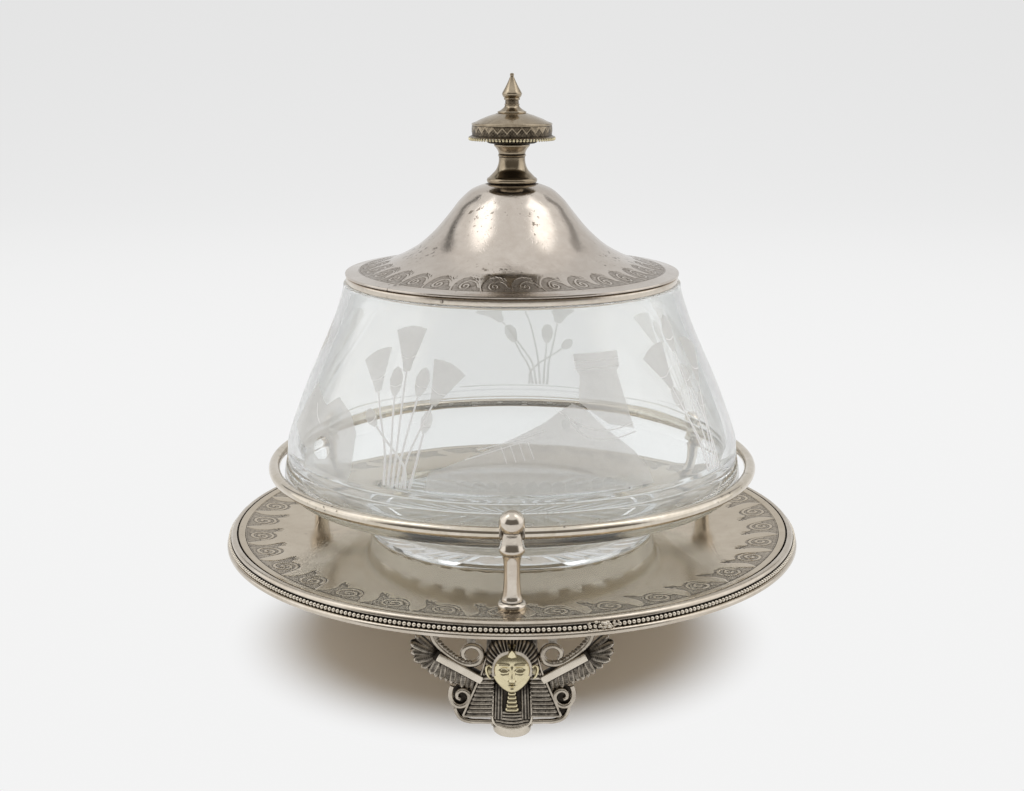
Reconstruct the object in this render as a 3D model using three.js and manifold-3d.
// Covered glass dish on a silver-plated stand with three winged mask feet.
// Millimetres, +Z up. The origin is on the floor, on the tray's axis, and the front foot faces -Y.

import * as THREE from 'three';
import { mergeVertices } from 'three/addons/utils/BufferGeometryUtils.js';
import Module from 'manifold-3d';

// Facets round the large rings, the small turned pieces and the plain round bars
const ringSides = 36;
const turnSides = 12;
const barSides = 10;

// Clearances
const gap = 0.3; // between pieces that touch on the real object
const bowlPlay = 1.5; // between the bowl's shoulder and the gallery ring
const bezelPlay = 0.5; // between the lid's locating band and the mouth collar

// Tray
const trayRadius = 100; // over the rim
const footHeight = 36; // floor to the rim's lower edge
const trayRise = 2.7; // rim's lower edge to the flat middle of the tray
const trayThickness = 1.6;
const trayFlatRadius = 55;
const brimRise = 2.25; // how far the dished brim climbs above the flat middle
const rimWidth = 3.6;
const rimHeight = 5.1;
const rimFlangeWidth = 4;
const rimBeadRadius = 0.72;
const rimBeadLift = 2.75; // rim's lower edge to the beads' centres
const channelDepth = 1.9; // beads' channel, in from the rim's outer edge

// Gallery
const stationCount = 3; // posts, and feet below them
const rodRadius = 1.95;
const ringInset = 17.05; // tray's edge in to the ring's centre line
const galleryHeight = 24.4; // flat middle of the tray to the ring's centre line
const postOffset = 0.95; // posts stand this far outside the ring's centre line
const postBaseRadius = 4.3;
const postBaseHeight = 2.3;
const postWaistRadius = 2.5;
const postNeckRadius = 3.7;
const postCollarRadius = 4;
const postCollarDrop = 3.5; // ring's centre line down to the collar's upper edge
const ballRadius = 3.85;
const ballRise = 4.4; // ring's centre line up to the ball's centre
const studRadius = 1.4;
const studLength = 6;

// Cast feet
const plateThickness = 1.9;
const plateSetback = 2.6; // post's axis out to the back of the wing plate
const bossRadius = 3.4;
const bossDepth = 8.5;
const padRadius = 5.7;
const padHeight = 3.4;
const wingSpan = 31; // half the width over the wing tips
const barLength = 16.1;
const barSlope = -0.527;
const barWidth = 2.4;
const fanCount = 5;
const fanLength = 8.9;
const coverCount = 6;
const scrollRadius = 3.5;
const scrollHole = 2;
const maskWidth = 10.2;
const maskHeight = 12.6;
const maskRelief = 3;
const railLength = 48; // along the foot's upper edge, under the tray
const railDrop = 3.4; // rim's lower edge down to the rail's
const spineWidth = 13;
const spineHeight = 30;

// Glass bowl
const baseRadius = 50.3;
const baseHeight = 5.8;
const shoulderLow = 17.5; // bowl's underside to the shoulder's lower edge
const shoulderHigh = 35; // bowl's underside to the shoulder's upper edge
const mouthRadius = 57.6;
const wallHollow = 1.2; // how far the upper wall curves in from a straight cone
const bowlHeight = 87.4;
const glassWall = 3.2;
const floorThickness = 9.6;

// Collar and lid
const collarRadius = 56.6;
const collarHeight = 2.2;
const collarSkirt = 1.4;
const sheet = 0.8; // thickness of the spun and rolled metal
const flangeRadius = 56.95;
const lidHeight = 30.3; // flange's underside to the finial's seat
const crownRadius = 8.6; // flat seat on top of the lid
const bezelDepth = 3.4;

// Finial
const stemBaseRadius = 8.5;
const stemWaistRadius = 4.42;
const stemHeight = 12.8;
const discRadius = 13.55;
const discUnderside = 2.6; // boss's seat up to the side wall
const discWall = 3.5;
const discDome = 3.8;
const discBossRadius = 8.3;
const knobBeadRadius = 0.5;
const spireFlangeRadius = 4.85;
const spireHeight = 12.9;
const spireBulbRadius = 3.3;
const lidStudRadius = 1.7;
const nutWidth = 7; // across flats
const nutHeight = 2.6;
const washerRadius = 5.5;
const washerThickness = 0.9;

// Heights and radii that follow from the sizes above
const rimZ = footHeight;
const trayZ = rimZ + trayRise;
const plateRadius = trayRadius - rimWidth - gap;
const ringRadius = trayRadius - ringInset;
const shoulderRadius = ringRadius - rodRadius - bowlPlay; // widest part of the bowl
const ringZ = trayZ + galleryHeight;
const postRadius = ringRadius + postOffset;
const bowlZ = trayZ + gap;
const collarZ = bowlZ + bowlHeight + gap;
const lidZ = collarZ + collarHeight + gap;
const finialZ = lidZ + lidHeight + gap;
const glassMouthInner = mouthRadius - glassWall;
const skirtOuter = glassMouthInner - gap;
const skirtInner = skirtOuter - sheet;
const bezelOuter = skirtInner - bezelPlay;
const bezelInner = bezelOuter - sheet;

const wasm = await Module();
wasm.setup();

// Signed volume of an indexed triangle list, positive when the faces point out
function signedVolume(vertices, triangles) {
  const [a, b, c] = [new THREE.Vector3(), new THREE.Vector3(), new THREE.Vector3()];
  let volume = 0;
  for (let i = 0; i < triangles.length; i += 3) {
    a.fromArray(vertices, 3 * triangles[i]);
    b.fromArray(vertices, 3 * triangles[i + 1]);
    c.fromArray(vertices, 3 * triangles[i + 2]);
    volume += a.dot(b.cross(c)) / 6;
  }
  return volume;
}

// Closed geometry to a solid: merges shared vertices, drops slivers and turns the faces out
function solid(geometry) {
  const bare = geometry.clone();
  bare.deleteAttribute('normal');
  bare.deleteAttribute('uv');
  const merged = mergeVertices(bare, 1e-4);
  const vertices = merged.attributes.position.array;
  const index = merged.index.array;
  const triangles = [];
  for (let i = 0; i < index.length; i += 3) {
    const [p, q, r] = [index[i], index[i + 1], index[i + 2]];
    if (p !== q && q !== r && r !== p) triangles.push(p, q, r);
  }
  if (signedVolume(vertices, triangles) < 0) triangles.reverse();
  return new wasm.Manifold(new wasm.Mesh({
    numProp: 3,
    vertProperties: new Float32Array(vertices),
    triVerts: new Uint32Array(triangles),
  }));
}

// Solid back to a geometry
function surface(body) {
  const mesh = body.getMesh();
  const geometry = new THREE.BufferGeometry();
  geometry.setAttribute('position', new THREE.BufferAttribute(mesh.vertProperties, 3));
  geometry.setIndex(new THREE.BufferAttribute(mesh.triVerts, 1));
  return geometry;
}

function union(bodies) {
  return bodies.reduce((sum, body) => sum.add(body));
}

// Solid of revolution about Z from a profile of [radius, height] points.
// The profile starts and ends on the axis, or is closed here by repeating its first point.
function revolve(profile, segments) {
  const points = profile.map(([radius, height]) => new THREE.Vector2(radius, height));
  const onAxis = points[0].x === 0 && points.at(-1).x === 0;
  if (!onAxis) points.push(points[0].clone());
  return solid(new THREE.LatheGeometry(points, segments).rotateX(Math.PI / 2));
}

// Points on a smooth curve through a few [radius, height] points
function smooth(points, divisions) {
  const curve = new THREE.CatmullRomCurve3(points.map(([x, y]) => new THREE.Vector3(x, y, 0)),
    false, 'centripetal');
  return curve.getPoints(divisions).map((p) => [p.x, p.y]);
}

// Points on an arc in the profile plane, from one angle to another in degrees
function arc(centreX, centreY, radius, from, to, steps) {
  return Array.from({ length: steps + 1 }, (_, k) => {
    const angle = THREE.MathUtils.degToRad(from + (to - from) * k / steps);
    return [centreX + radius * Math.cos(angle), centreY + radius * Math.sin(angle)];
  });
}

// Height of the tray's upper face above the floor: flat in the middle, dished towards the rim
function trayTop(radius) {
  const climb = Math.max(0, radius - trayFlatRadius) / (plateRadius - trayFlatRadius);
  return trayZ + brimRise * climb * climb;
}

// Vertical round bar between two heights, centred on x, y
function bar(radius, from, to, x, y) {
  const geometry = new THREE.CylinderGeometry(radius, radius, to - from, barSides);
  geometry.rotateX(Math.PI / 2).translate(x, y, (from + to) / 2);
  return solid(geometry);
}

// Tray plate with the holes for the posts' threaded ends
function makeTray() {
  const steps = 2;
  const brim = Array.from({ length: steps + 1 }, (_, k) => {
    const radius = trayFlatRadius + (plateRadius - trayFlatRadius) * k / steps;
    return [radius, trayTop(radius)];
  });
  const underside = brim.map(([radius, height]) => [radius, height - trayThickness]).reverse();
  let plate = revolve([[0, trayZ], ...brim, ...underside, [0, trayZ - trayThickness]], ringSides);
  for (let k = 0; k < stationCount; k += 1) {
    const angle = 2 * Math.PI * k / stationCount - Math.PI / 2;
    plate = plate.subtract(bar(studRadius + gap, rimZ - 1, rimZ + 2 * rimHeight,
      postRadius * Math.cos(angle), postRadius * Math.sin(angle)));
  }
  return surface(plate);
}

// Rim moulding: inner flange under the plate, groove, rounded ledge, bead channel and lower lip
function makeRim() {
  const inner = plateRadius + gap;
  const flangeTop = trayTop(plateRadius - rimFlangeWidth) - trayThickness - gap;
  const channelFloor = trayRadius - channelDepth;
  const channelLow = rimZ + rimBeadLift - rimBeadRadius - gap;
  const channelHigh = rimZ + rimBeadLift + rimBeadRadius + gap;
  const ledgeRadius = 1.1;
  const ledgeZ = rimZ + rimHeight - ledgeRadius;
  const lipRadius = 0.8;
  return surface(revolve([
    [inner - rimFlangeWidth, flangeTop - 0.9],
    [inner + 0.6, flangeTop - 0.9],
    [trayRadius - 1.6, rimZ],
    ...arc(trayRadius - lipRadius, rimZ + lipRadius, lipRadius, -60, 60, 2),
    [channelFloor, channelLow],
    [channelFloor, channelHigh],
    [trayRadius - 1.25, channelHigh],
    ...arc(inner + ledgeRadius + 0.1, ledgeZ, ledgeRadius, 10, 170, 2),
    [inner, flangeTop],
    [inner - rimFlangeWidth, flangeTop],
  ], ringSides));
}

// Beading laid in the rim's channel, here a closed ring of three-sided section
function makeRimBeading() {
  const centre = trayRadius - channelDepth + gap + rimBeadRadius;
  return surface(revolve(arc(centre, rimZ + rimBeadLift, rimBeadRadius, 0, 240, 2), ringSides));
}

// Turned post: threaded end, base, waisted shaft, collar, neck with the ring's notch, and ball
function makePost() {
  const base = trayTop(postRadius + postBaseRadius) + gap;
  const collar = ringZ - postCollarDrop;
  const waist = (base + collar) / 2;
  const ballZ = ringZ + ballRise;
  const ballStart = THREE.MathUtils.radToDeg(-Math.acos(0.62));
  const profile = [
    [0, base - studLength],
    [studRadius, base - studLength],
    [studRadius, base],
    [postBaseRadius, base],
    [postBaseRadius, base + 0.5 * postBaseHeight],
    [postWaistRadius + 0.6, base + postBaseHeight],
    [postWaistRadius, waist - 2],
    [postWaistRadius, waist + 3],
    [postWaistRadius + 0.6, collar - 2.2],
    [postCollarRadius, collar - 0.9],
    [postCollarRadius, collar - 0.2],
    [postNeckRadius - 0.3, collar + 0.4],
    [postNeckRadius, collar + 1.8],
    [0.62 * ballRadius, ballZ + ballRadius * Math.sin(THREE.MathUtils.degToRad(ballStart))],
    ...arc(0, ballZ, ballRadius, ballStart + 26, 90, 4),
  ];
  profile[profile.length - 1][0] = 0;
  const notch = ringTorus(rodRadius + gap).translate([0, postRadius, 0]);
  const slot = new THREE.BoxGeometry(3 * ballRadius, 2 * rodRadius, 2 * (rodRadius + gap));
  slot.translate(0, postOffset + rodRadius, ringZ);
  return surface(revolve(profile, 8).subtract(notch.add(solid(slot))));
}

// Torus about the tray's axis at the gallery's height
function ringTorus(radius) {
  return solid(new THREE.TorusGeometry(ringRadius, radius, 6, ringSides).translate(0, 0, ringZ));
}

// Glass bowl: round base, sloping underside, rolled shoulder and a cone that hollows at the neck
function makeBowl() {
  const coneRadius = shoulderRadius - 1.9;
  const steps = 4;
  const cone = Array.from({ length: steps + 1 }, (_, k) => {
    const t = k / steps;
    const straight = coneRadius + (mouthRadius - coneRadius) * t;
    const height = shoulderHigh + (bowlHeight - shoulderHigh) * t;
    return [straight - wallHollow * Math.sin(Math.PI * t ** 3), height];
  });
  const shoulder = smooth([
    [shoulderRadius - 2, shoulderLow],
    [shoulderRadius - 0.2, shoulderLow + 1.7],
    [shoulderRadius, shoulderLow + 4.5],
    [shoulderRadius - 0.6, shoulderLow + 7.5],
    [shoulderRadius - 1.2, shoulderLow + 11.5],
    [coneRadius, shoulderHigh],
  ], 4);
  const outer = [
    [0, 1],
    [baseRadius - 6, 1],
    [baseRadius - 5, 0],
    [baseRadius, 0],
    [baseRadius, baseHeight],
    ...shoulder,
    ...cone.slice(1),
  ];
  const inner = [
    ...cone.map(([radius, height]) => [radius - glassWall, height]).reverse(),
    [shoulderRadius - 1.4 - glassWall, shoulderLow + 6],
    [shoulderRadius - 4 - glassWall, shoulderLow + 2.6],
    [baseRadius, floorThickness + 1.5],
    [0, floorThickness],
  ];
  return surface(revolve([...outer, ...inner], ringSides).translate([0, 0, bowlZ]));
}

// Collar on the glass mouth: a band on the rim and a skirt that hangs inside the glass
function makeCollar() {
  const top = collarZ + collarHeight;
  return surface(revolve([
    [skirtInner, collarZ - collarSkirt],
    [skirtOuter, collarZ - collarSkirt],
    [skirtOuter, collarZ],
    [collarRadius, collarZ],
    [collarRadius, top - 0.4],
    [collarRadius - 0.4, top],
    [skirtInner, top],
  ], ringSides));
}

// Spun lid: flat seat for the finial, domed crown, straight flank, hollow sweep and wide flange
function makeLid() {
  const outside = smooth([
    [crownRadius, lidHeight],
    [12.4, 29.0],
    [16.5, 26.0],
    [20.8, 20.9],
    [25, 15.8],
    [29.2, 11.7],
    [33.2, 8.6],
    [38.5, 5.7],
    [45, 3.3],
    [flangeRadius - 4.7, 1.7],
    [flangeRadius, sheet],
  ], 8);
  const inside = [
    [flangeRadius, 0],
    [bezelOuter - 0.5, 0],
    ...smooth([
      [flangeRadius - 8, 1.7],
      [38, 5],
      [32.3, 8.2],
      [24.1, 15.4],
      [16, 25.2],
      [crownRadius, lidHeight - sheet],
    ], 5),
    [lidStudRadius + gap, lidHeight - sheet],
  ];
  const profile = [[lidStudRadius + gap, lidHeight], ...outside, ...inside];
  return surface(revolve(profile, ringSides).translate([0, 0, lidZ]));
}

// Locating band under the lid, inside the mouth collar
function makeBezel() {
  const top = lidZ - gap;
  return surface(revolve([
    [bezelInner, top - bezelDepth],
    [bezelOuter, top - bezelDepth],
    [bezelOuter, top],
    [bezelInner, top],
  ], ringSides));
}

// Finial stem: waisted spool with a threaded end through the lid and a bore for the spire
function makeStem() {
  const boreDepth = 8;
  const washerSpace = sheet + washerThickness + nutHeight + 5 * gap;
  const lower = smooth([
    [stemBaseRadius, 1.6],
    [6.9, 3],
    [5.6, 4.2],
    [stemWaistRadius + 0.1, 6.8],
    [stemWaistRadius, 9],
  ], 5);
  const profile = [
    [0, -washerSpace],
    [lidStudRadius, -washerSpace],
    [lidStudRadius, 0],
    [stemBaseRadius - 0.4, 0],
    ...lower,
    [stemWaistRadius + 0.3, 9.3],
    [stemWaistRadius + 0.1, 9.7],
    [4.9, 10.8],
    [6.1, 12.1],
    [6.3, stemHeight],
    [0, stemHeight],
  ];
  const bore = bar(lidStudRadius + gap, stemHeight - boreDepth, stemHeight + 1, 0, 0);
  return surface(revolve(profile, turnSides).subtract(bore).translate([0, 0, finialZ]));
}

// Disc knob: underside boss, upright side wall and low dome
function makeDisc() {
  const lowest = finialZ + stemHeight + gap;
  const wallZ = lowest + discUnderside;
  const topZ = wallZ + discWall;
  const apex = topZ + discDome;
  return surface(revolve([
    [lidStudRadius + gap, lowest],
    [discBossRadius - 0.4, lowest],
    [discBossRadius, lowest + 0.4],
    [discBossRadius, lowest + 1.1],
    [discRadius - 0.8, wallZ - 1.4],
    [discRadius, wallZ - 1.1],
    [discRadius, topZ],
    [discRadius - 0.5, topZ + 0.4],
    ...smooth([
      [discRadius - 1.4, topZ + 0.8],
      [9.8, topZ + 2.2],
      [spireFlangeRadius, apex],
    ], 4),
    [lidStudRadius + gap, apex],
  ], turnSides));
}

// Beading laid round the disc's lower edge, here a closed ring of four-sided section
function makeKnobBeading() {
  const beadZ = finialZ + stemHeight + gap + discUnderside - 0.8;
  const centre = discRadius + gap + knobBeadRadius;
  return surface(revolve(arc(centre, beadZ, knobBeadRadius, 0, 270, 3), 2 * turnSides));
}

// Spire: threaded end through the disc, small flange, neck and onion bulb drawn to a point
function makeSpire() {
  const seat = finialZ + stemHeight + 2 * gap + discUnderside + discWall + discDome;
  const neck = spireHeight - 9.5;
  const bulb = spireHeight - 6.7;
  const profile = [
    [0, -15],
    [lidStudRadius, -15],
    [lidStudRadius, 0],
    [spireFlangeRadius, 0],
    [spireFlangeRadius, 0.4],
    [3.4, 1.2],
    [2.3, neck - 0.6],
    [2.25, neck + 0.4],
    [2.6, neck + 1],
    [spireBulbRadius, bulb],
    [2.7, bulb + 1.4],
    [1.4, bulb + 3.9],
    [0.9, bulb + 5.2],
    [0.7, bulb + 6.4],
    [0, spireHeight],
  ];
  return surface(revolve(profile, 10).translate([0, 0, seat]));
}

function makeWasher() {
  const top = finialZ - gap - sheet - gap;
  return surface(revolve([
    [lidStudRadius + gap, top - washerThickness],
    [washerRadius, top - washerThickness],
    [washerRadius, top],
    [lidStudRadius + gap, top],
  ], turnSides));
}

function makeNut() {
  const top = finialZ - gap - sheet - 2 * gap - washerThickness;
  const corner = nutWidth / Math.sqrt(3);
  const body = new THREE.CylinderGeometry(corner, corner, nutHeight, 6);
  body.rotateX(Math.PI / 2).translate(0, 0, top - nutHeight / 2);
  const hole = bar(lidStudRadius + gap, top - nutHeight - 1, top + 1, 0, 0);
  return surface(solid(body).subtract(hole));
}

// Cast foot. It is drawn in a plane: u across, w up from the rim's lower edge, and each shape is
// pulled outwards between two depths, measured from the back of the wing plate.

// Pulls a shape in the u, w plane outwards between two depths
function pull(shape, from, to, curveSegments = 1) {
  const options = { depth: to - from, bevelEnabled: false, curveSegments };
  return new THREE.ExtrudeGeometry(shape, options).translate(0, 0, from);
}

function polygon(points) {
  return new THREE.Shape(points.map(([u, w]) => new THREE.Vector2(u, w)));
}

// Ribbon of even width along a smooth line through a few points
function ribbon(points, width, divisions) {
  const curve = new THREE.CatmullRomCurve3(points.map(([u, w]) => new THREE.Vector3(u, w, 0)));
  const left = [];
  const right = [];
  for (let k = 0; k <= divisions; k += 1) {
    const p = curve.getPointAt(k / divisions);
    const t = curve.getTangentAt(k / divisions);
    left.push([p.x - t.y * width / 2, p.y + t.x * width / 2]);
    right.push([p.x + t.y * width / 2, p.y - t.x * width / 2]);
  }
  return polygon([...left, ...right.reverse()]);
}

// Feathered edge of a wing: a fan round the wing's root, then a row under the plain bar. Each
// feather is a blade with a ridge and a blunt tip, and the valleys between them are cut back.
function featherEdge(root, barEnd) {
  const point = (u, w) => new THREE.Vector2(u, w);
  const feathers = [];
  for (let k = 0; k < fanCount; k += 1) {
    const turn = THREE.MathUtils.degToRad(144 + 108 * k / (fanCount - 1));
    const ray = point(Math.cos(turn), Math.sin(turn));
    const length = fanLength * (1 - 0.055 * k);
    feathers.push([root.clone().addScaledVector(ray, 0.9), root.clone().addScaledVector(ray, length)]);
  }
  const [tipStart, tipEnd] = [root.clone().add(point(0.4, -7.9)), barEnd.clone().add(point(-1.7, -3.4))];
  for (let k = 0; k < coverCount; k += 1) {
    feathers.push([root.clone().lerp(barEnd, (k + 0.6) / coverCount),
      tipStart.clone().lerp(tipEnd, k / (coverCount - 1))]);
  }
  const valley = (k) => {
    const [before, after] = [feathers[k - 1] ?? feathers[0], feathers[k] ?? feathers.at(-1)];
    const [r, t] = [0, 1].map((end) => before[end].clone().lerp(after[end], 0.5));
    if (k === 0) t.addScaledVector(feathers[1][1].clone().sub(t), -0.4);
    if (k === feathers.length) t.addScaledVector(feathers.at(-2)[1].clone().sub(t), -0.4);
    if (k === 0) r.addScaledVector(feathers[1][0].clone().sub(r), -0.4);
    return [r, t.lerp(r, 0.16)];
  };
  const positions = [];
  const corner = (p, depth) => positions.push(p.x, p.y, depth);
  const face = (...corners) => corners.forEach(([p, depth]) => corner(p, depth));
  const wall = ([p, high], [q, low]) => {
    face([p, high], [p, 0], [q, 0]);
    face([p, high], [q, 0], [q, low]);
  };
  feathers.forEach(([r, t], k) => {
    const [[rootLeft, left], [rootRight, right]] = [valley(k), valley(k + 1)];
    const tip = (side) => side.clone().lerp(t, 0.6).addScaledVector(t.clone().sub(r), 0.06);
    const loop = [[rootLeft, 1.5], [left, 1.15], [tip(left), 1.4], [tip(right), 1.4],
      [right, 1.15], [rootRight, 1.5]];
    loop.forEach((here, i) => {
      const next = loop[(i + 1) % loop.length];
      face([r, plateThickness + 0.3], here, next);
      face([r, 0], [next[0], 0], [here[0], 0]);
      const shared = (i === 0 && k > 0) || (i === 4 && k < feathers.length - 1);
      if (!shared) wall(here, next);
    });
  });
  const geometry = new THREE.BufferGeometry();
  geometry.setAttribute('position', new THREE.Float32BufferAttribute(positions, 3));
  return geometry;
}

// One wing with its feathers, plain bar, upper scroll and lower volute, on the left of the mask
function wingPieces() {
  const root = new THREE.Vector2(8.5 - wingSpan, -9.6);
  const barEnd = root.clone().add(new THREE.Vector2(barLength, 0).rotateAround(
    new THREE.Vector2(), barSlope));
  const pieces = [featherEdge(root, barEnd)];
  for (const [margin, height] of [[1.3, 0.6], [0, 1.2]]) {
    const plain = new THREE.BoxGeometry(barLength + margin, barWidth + margin, plateThickness + height);
    plain.translate(barLength / 2, 0, (plateThickness + height) / 2);
    pieces.push(plain.rotateZ(barSlope).translate(root.x, root.y, 0));
  }
  const centre = [-12.3, -9.4];
  const scroll = new THREE.Shape();
  scroll.absarc(centre[0], centre[1], scrollRadius, 0, 2 * Math.PI);
  const hole = new THREE.Path();
  hole.absarc(centre[0], centre[1], scrollHole, 0, 2 * Math.PI, true);
  scroll.holes.push(hole);
  pieces.push(pull(scroll, 0, plateThickness + 0.4, 4));
  const reach = centre[1] - (scrollRadius + scrollHole) / 2;
  pieces.push(pull(ribbon([[-23.4, -2.6], [-22, -6], [-18.9, -9.4], [-15.6, reach], [centre[0], reach]],
    1.6, 3), 0, plateThickness + 0.4));
  pieces.push(pull(polygon([[-14, -2], [-10.6, -2], [-11.5, -7], [-13.1, -7]]), 0, plateThickness - 0.2));
  const volute = [];
  for (let k = 0; k <= 10; k += 1) {
    const turn = THREE.MathUtils.degToRad(60 - 42 * k);
    const radius = 0.95 + 0.15 * k;
    volute.push([-15.6 + radius * Math.cos(turn), -23.3 + radius * Math.sin(turn)]);
  }
  pieces.push(pull(ribbon(volute, 1.15, 7), 0, plateThickness + 0.4));
  pieces.push(pull(ribbon([[-17.6, -24.6], [-16.9, -27.6], [-14.9, -30.2], [-10.5, -31], [-4, -31.2]],
    1.3, 4), 0, plateThickness + 0.4));
  pieces.push(pull(polygon([[-17.6, -22], [-9, -18], [-9, -25.4], [-13.6, -25.4]]), 0, 1.05));
  return pieces;
}

// Lappet of the headdress, on the left of the mask, flaring down to its square end
function lappetPieces() {
  const [topW, lowW] = [-15.5, -29];
  return [pull(polygon([[-9, topW], [-14.4, lowW], [-5.8, lowW], [-4.9, topW]]), 0, plateThickness + 1)];
}

// Mask: an oval relief by formula. The features are soft mounds and hollows on classic
// proportions: eyes half way down the head, the nose ending half way between brow and chin.
function maskGeometry() {
  const [halfWidth, halfHeight] = [maskWidth / 2, maskHeight / 2];
  const mound = (x, y, x0, y0, sx, sy) => Math.exp(-(((x - x0) / sx) ** 2) - ((y - y0) / sy) ** 2);
  const relief = (x, y) => {
    const dome = Math.sqrt(Math.max(0, 1 - 0.92 * x * x - 0.92 * y * y));
    const side = Math.abs(x);
    return dome
      - 0.16 * mound(side, y, 0.36, 0.04, 0.2, 0.13)
      + 0.09 * mound(side, y, 0.36, 0.0, 0.12, 0.06)
      + 0.07 * mound(side, y, 0.34, 0.2, 0.3, 0.07)
      + 0.26 * mound(x, y, 0, -0.18, 0.1, 0.2)
      + 0.1 * mound(side, y, 0.1, -0.3, 0.09, 0.07)
      + 0.12 * mound(x, y, 0, -0.54, 0.2, 0.07)
      - 0.06 * mound(x, y, 0, -0.68, 0.2, 0.06)
      + 0.1 * mound(x, y, 0, -0.86, 0.22, 0.12);
  };
  const [rings, spokes] = [6, 14];
  const positions = [0, 0, maskRelief * relief(0, 0)];
  for (let ring = 1; ring <= rings; ring += 1) {
    for (let spoke = 0; spoke < spokes; spoke += 1) {
      const turn = 2 * Math.PI * spoke / spokes;
      const y = ring / rings * Math.sin(turn);
      const taper = 1 - 0.26 * Math.max(0, -y) ** 1.6;
      const x = ring / rings * Math.cos(turn) * taper;
      const height = ring === rings ? -0.9 : relief(x, y);
      positions.push(halfWidth * x, halfHeight * y, maskRelief * height);
    }
  }
  positions.push(0, 0, -0.9 * maskRelief);
  const back = positions.length / 3 - 1;
  const index = [];
  for (let spoke = 0; spoke < spokes; spoke += 1) {
    const next = (spoke + 1) % spokes;
    index.push(0, 1 + spoke, 1 + next);
    for (let ring = 0; ring < rings - 1; ring += 1) {
      const [inner, outer] = [1 + ring * spokes, 1 + (ring + 1) * spokes];
      index.push(inner + spoke, outer + spoke, outer + next, inner + spoke, outer + next, inner + next);
    }
    const last = 1 + (rings - 1) * spokes;
    index.push(back, last + next, last + spoke);
  }
  const geometry = new THREE.BufferGeometry();
  geometry.setAttribute('position', new THREE.Float32BufferAttribute(positions, 3));
  geometry.setIndex(index);
  return geometry;
}

// Headdress crown, mask, ears and beard, on the foot's middle line
function headPieces() {
  const outline = [[-9.4, -17.2], [-7.7, -11], [-6.2, -6.6], [-2.8, -4.1]];
  const mirrored = outline.map(([u, w]) => [-u, w]).reverse();
  const crown = new THREE.ExtrudeGeometry(polygon([...outline, ...mirrored]), {
    depth: 1.6, bevelEnabled: true, bevelThickness: 1.7, bevelSize: 1.5, bevelOffset: -1.5,
    bevelSegments: 1,
  }).translate(0, 0, plateThickness - 0.2);
  const pieces = [crown, maskGeometry().translate(0, -14.4, plateThickness + 1.9)];
  for (const side of [-1, 1]) {
    const ear = new THREE.SphereGeometry(1, 5, 4).scale(0.9, 1.6, 0.9);
    pieces.push(ear.translate(side * (maskWidth / 2 + 0.9), -13.6, plateThickness + 2.6));
  }
  const [beardTop, beardEnd] = [-20, -29.5];
  pieces.push(pull(polygon([[-1.3, beardTop], [-2, beardEnd], [2, beardEnd], [1.3, beardTop]]), 0.5,
    plateThickness + 1.4));
  return pieces;
}

// Upright round-fronted column: a half circle in plan with a straight back, between two heights
function column(radius, centre, back, from, to) {
  const plan = new THREE.Shape();
  plan.moveTo(-radius, back);
  plan.lineTo(radius, back);
  plan.absarc(0, centre, radius, 0, Math.PI);
  const geometry = new THREE.ExtrudeGeometry(plan, {
    depth: to - from, bevelEnabled: false, curveSegments: 4,
  });
  return solid(geometry.translate(0, 0, from).scale(1, -1, 1));
}

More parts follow.
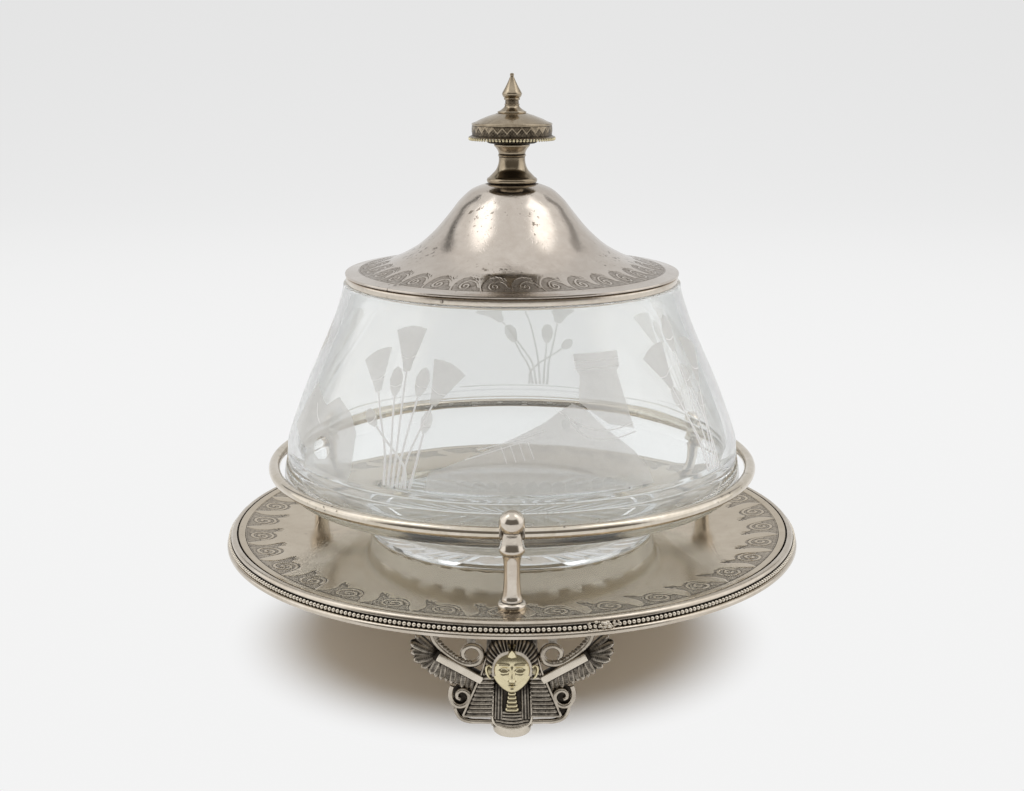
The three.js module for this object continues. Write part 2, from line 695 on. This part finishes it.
// Whole foot: wings, head and lappets in the plate, the hollow-fronted leg with its ribbed pad, and
// the boss under the tray that takes the post's threaded end
function makeFoot() {
  const upright = (geometry) => geometry.rotateX(Math.PI / 2);
  const flat = [];
  for (const piece of [...wingPieces(), ...lappetPieces()]) {
    flat.push(solid(upright(piece.clone())), solid(upright(piece.clone().scale(-1, 1, 1))));
  }
  flat.push(...headPieces().map((piece) => solid(upright(piece))));
  const top = trayTop(postRadius - bossRadius) - trayThickness - gap - rimZ;
  const rail = new THREE.BoxGeometry(railLength, plateThickness - 0.2, top + railDrop);
  rail.translate(0, -(plateThickness - 0.2) / 2, (top - railDrop) / 2);
  const spine = new THREE.BoxGeometry(spineWidth, plateThickness, spineHeight);
  spine.translate(0, -plateThickness / 2, -1 - spineHeight / 2);
  const centre = -2.7;
  const floor = -footHeight;
  const legBack = centre - 3;
  const ribCount = 3;
  const ribHeight = 1.2;
  const pieces = [solid(rail), solid(spine), column(padRadius, centre, legBack, floor + 1, -17)];
  const recess = column(padRadius - 1.2, centre + 3.7, centre + 0.2,
    floor + padHeight + ribCount * ribHeight - 0.4, -18);
  let leg = union(pieces).subtract(recess);
  leg = leg.add(column(padRadius + 0.1, centre, legBack, floor, floor + padHeight));
  for (let k = 0; k < ribCount; k += 1) {
    const low = floor + padHeight + ribHeight * k;
    leg = leg.add(column(padRadius - 0.55 - 0.35 * k, centre + 0.35 - 0.2 * k, legBack + 0.5,
      low - 0.2, low + 0.62 * ribHeight));
  }
  leg = leg.add(bar(bossRadius, -bossDepth, top, 0, plateSetback));
  const bore = bar(studRadius + gap, top - studLength - 1, top + 1, 0, plateSetback);
  const foot = union([leg, ...flat]).subtract(bore);
  return surface(foot.translate([0, -postRadius - plateSetback, rimZ]));
}

// Finishes
const silver = new THREE.MeshStandardMaterial({ color: 0xb9b0a4, roughness: 0.28, metalness: 1 });
const worn = new THREE.MeshStandardMaterial({ color: 0xa59a8b, roughness: 0.34, metalness: 1 });
const cast = new THREE.MeshStandardMaterial({ color: 0x96897a, roughness: 0.42, metalness: 1 });
const bronze = new THREE.MeshStandardMaterial({ color: 0x857a66, roughness: 0.36, metalness: 1 });
const steel = new THREE.MeshStandardMaterial({ color: 0x8d8a86, roughness: 0.5, metalness: 1 });
const glass = new THREE.MeshStandardMaterial({
  color: 0xf2f5f4, roughness: 0.05, metalness: 0, transparent: true, opacity: 0.3,
});

function part(name, geometry, material) {
  const mesh = new THREE.Mesh(geometry, material);
  mesh.name = name;
  return mesh;
}

// Assembly
const dish = new THREE.Group();
dish.add(part('tray', makeTray(), worn));
dish.add(part('tray_rim', makeRim(), silver));
dish.add(part('rim_beading', makeRimBeading(), silver));
dish.add(part('gallery_ring', surface(ringTorus(rodRadius)), silver));

const footGeometry = makeFoot();
const postGeometry = makePost();
['front', 'right', 'left'].forEach((place, k) => {
  const station = new THREE.Group();
  station.rotation.z = 2 * Math.PI * k / stationCount;
  const post = part(`post_${place}`, postGeometry, silver);
  post.position.y = -postRadius;
  station.add(part(`foot_${place}`, footGeometry, cast), post);
  dish.add(station);
});

const bowl = new THREE.Group();
bowl.add(part('glass_bowl', makeBowl(), glass), part('mouth_collar', makeCollar(), silver));
dish.add(bowl);

const lid = new THREE.Group();
lid.add(part('lid_shell', makeLid(), silver), part('lid_bezel', makeBezel(), silver));
lid.add(part('finial_stem', makeStem(), bronze), part('finial_disc', makeDisc(), bronze));
lid.add(part('finial_beading', makeKnobBeading(), bronze));
lid.add(part('finial_spire', makeSpire(), bronze));
lid.add(part('lid_washer', makeWasher(), steel), part('lid_nut', makeNut(), steel));
dish.add(lid);

export default dish;
